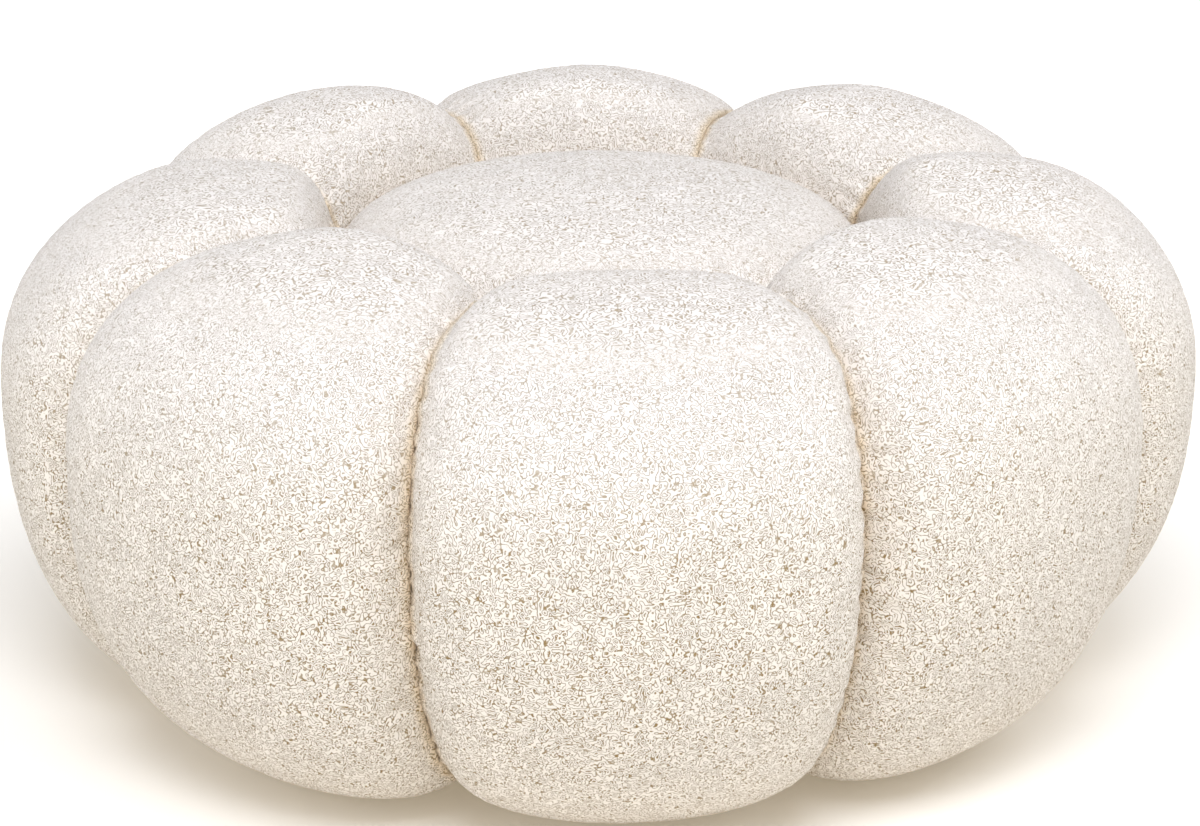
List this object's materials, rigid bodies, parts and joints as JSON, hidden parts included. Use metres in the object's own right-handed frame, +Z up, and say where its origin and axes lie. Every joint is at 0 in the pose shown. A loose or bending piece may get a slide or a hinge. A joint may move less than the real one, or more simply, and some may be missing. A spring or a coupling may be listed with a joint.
{
  "type": "boucle pouf",
  "caption": "Round low floor pouf of plump petal-shaped side cushions standing round a domed centre cushion, to sit on or rest feet on.",
  "frame": {"origin": "on the pouf's vertical axis, at the floor, in the middle of the centre cushion's flat underside", "axes": "+Z up along the pouf's axis, -Y towards the front petal, +X to the right as seen from the front"},
  "size_m": [0.9496, 0.9516, 0.4324],
  "materials": {
    "boucle": "cream boucle, looped curly pile about 4 mm across, matt"
  },
  "bodies": {
    "root": {"petal_front": "boucle", "petal_front_right": "boucle", "petal_right": "boucle", "petal_back_right": "boucle", "petal_back": "boucle", "petal_back_left": "boucle", "petal_left": "boucle", "petal_front_left": "boucle", "centre_cushion": "boucle"}
  },
  "joints": []
}
